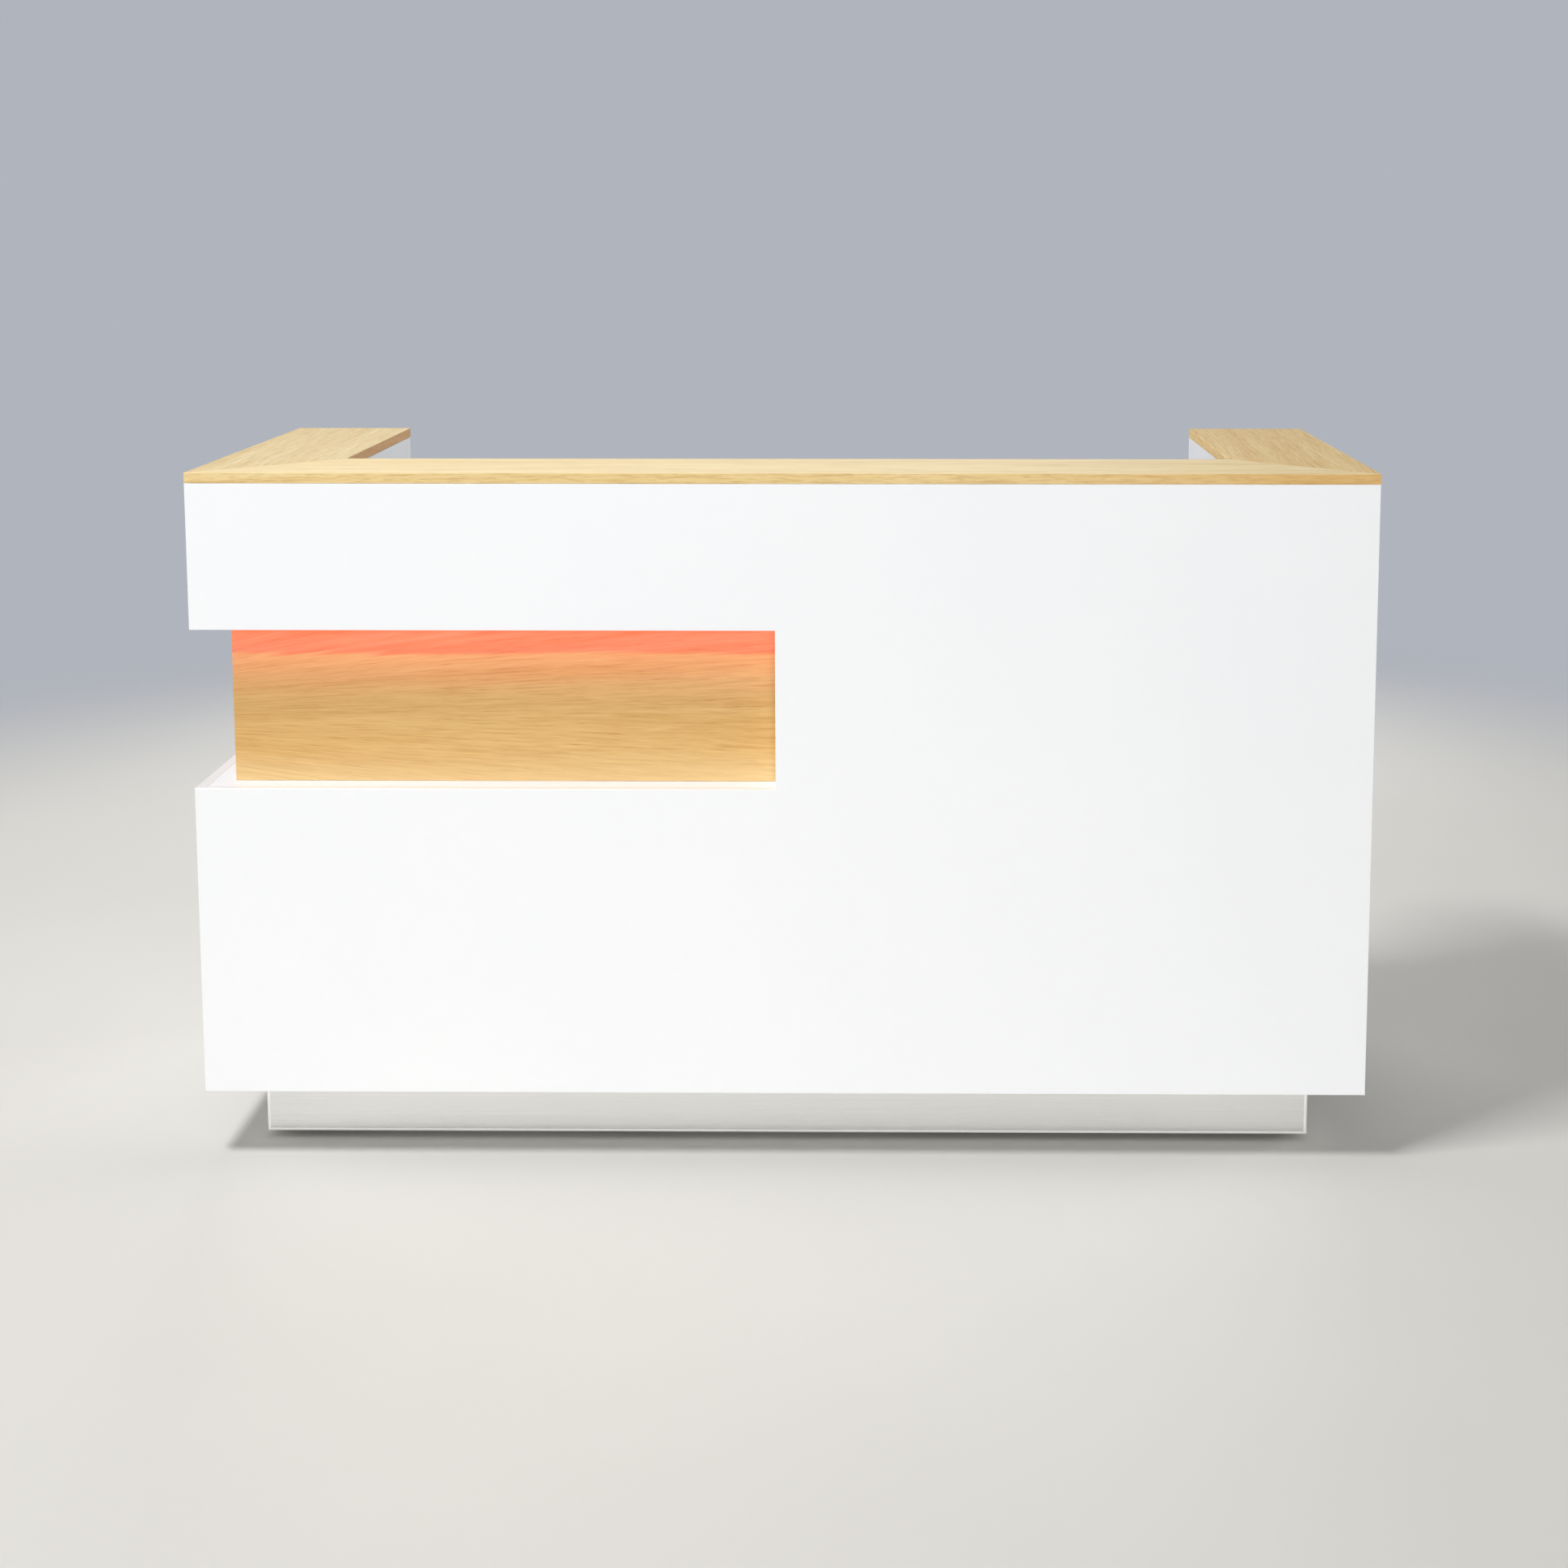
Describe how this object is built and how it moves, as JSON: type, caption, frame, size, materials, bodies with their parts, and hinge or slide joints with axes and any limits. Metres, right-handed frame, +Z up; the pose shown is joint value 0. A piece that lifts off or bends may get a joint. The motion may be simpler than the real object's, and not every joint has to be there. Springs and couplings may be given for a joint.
{
  "type": "reception desk",
  "caption": "U-shaped reception desk: oak counter on white hollow walls, lit oak corner recess, brushed toe kick, staff worktop with drawers on telescopic slides.",
  "frame": {"origin": "on the floor, under the middle of the desk's outer box", "axes": "+X to the visitor's right along the front, +Y from the visitors' side to the staff side, +Z up"},
  "size_m": [1.829, 0.711, 1.092],
  "materials": {
    "white_laminate": "white high-gloss laminate on board",
    "oak": "light oak veneer on board, satin lacquer",
    "brushed_aluminium": "fine horizontal brush",
    "led_strip": "flexible circuit with light chips",
    "led_diffuser": "frosted cover, lit red-orange from behind",
    "black_plastic": "fine-grained moulding",
    "grey_plastic": "fine-grained moulding",
    "zinc_steel": "bright zinc on roll-formed steel",
    "drawer_board": "matt pale grey melamine"
  },
  "bodies": {
    "desk": {"counter_front": "oak", "counter_left": "oak", "counter_right": "oak", "front_panel": "white_laminate", "left_upper_panel": "white_laminate", "left_lower_panel": "white_laminate", "right_side_panel": "white_laminate", "left_end_panel": "white_laminate", "right_end_panel": "white_laminate", "inner_front_panel": "white_laminate", "inner_left_panel": "white_laminate", "inner_right_panel": "white_laminate", "front_rib": "white_laminate", "recess_ledge": "white_laminate", "recess_soffit": "white_laminate", "oak_front_panel": "oak", "oak_side_panel": "oak", "recess_stop_panel": "white_laminate", "led_channel_front": "brushed_aluminium", "led_channel_side": "brushed_aluminium", "led_strip_front": "led_strip", "led_strip_side": "led_strip", "led_diffuser_front": "led_diffuser", "led_diffuser_side": "led_diffuser", "led_driver": "black_plastic", "base_panel": "white_laminate", "kick_front": "brushed_aluminium", "kick_left": "brushed_aluminium", "kick_right": "brushed_aluminium", "leg_1": "black_plastic", "leg_2": "black_plastic", "leg_3": "black_plastic", "leg_4": "black_plastic", "leg_5": "black_plastic", "leg_6": "black_plastic", "worktop": "white_laminate", "worktop_cleat": "white_laminate", "grommet_liner": "grey_plastic", "pedestal_side": "white_laminate", "pedestal_bottom": "white_laminate", "pedestal_toe": "brushed_aluminium", "box_drawer_slide_left_outer": "zinc_steel", "box_drawer_slide_right_outer": "zinc_steel", "file_drawer_slide_left_outer": "zinc_steel", "file_drawer_slide_right_outer": "zinc_steel"},
    "box_drawer": {"box_drawer_front": "white_laminate", "box_drawer_box": "drawer_board", "box_drawer_handle": "brushed_aluminium", "box_drawer_slide_left_inner": "zinc_steel", "box_drawer_slide_right_inner": "zinc_steel"},
    "box_drawer_carrier": {"box_drawer_slide_left_middle": "zinc_steel", "box_drawer_slide_right_middle": "zinc_steel"},
    "file_drawer": {"file_drawer_front": "white_laminate", "file_drawer_box": "drawer_board", "file_drawer_handle": "brushed_aluminium", "file_drawer_slide_left_inner": "zinc_steel", "file_drawer_slide_right_inner": "zinc_steel"},
    "file_drawer_carrier": {"file_drawer_slide_left_middle": "zinc_steel", "file_drawer_slide_right_middle": "zinc_steel"},
    "cable_cap": {"grommet_cap": "grey_plastic"}
  },
  "joints": [
    {"name": "box_drawer_slide", "type": "slide", "parent": "desk", "child": "box_drawer", "axis": [0, 1, 0], "range_m": [0, 0.42]},
    {"name": "box_carrier_slide", "type": "slide", "parent": "desk", "child": "box_drawer_carrier", "axis": [0, 1, 0], "range_m": [0, 0.21]},
    {"name": "file_drawer_slide", "type": "slide", "parent": "desk", "child": "file_drawer", "axis": [0, 1, 0], "range_m": [0, 0.42]},
    {"name": "file_carrier_slide", "type": "slide", "parent": "desk", "child": "file_drawer_carrier", "axis": [0, 1, 0], "range_m": [0, 0.21]},
    {"name": "cable_cap_turn", "type": "hinge", "parent": "desk", "child": "cable_cap", "pos_m": [-0.1915, -0.0605, 0.7413], "axis": [0, 0, 1], "continuous": true}
  ],
  "couplings": [
    {"joint": "box_carrier_slide", "follows": "box_drawer_slide", "ratio": 0.5},
    {"joint": "file_carrier_slide", "follows": "file_drawer_slide", "ratio": 0.5}
  ]
}
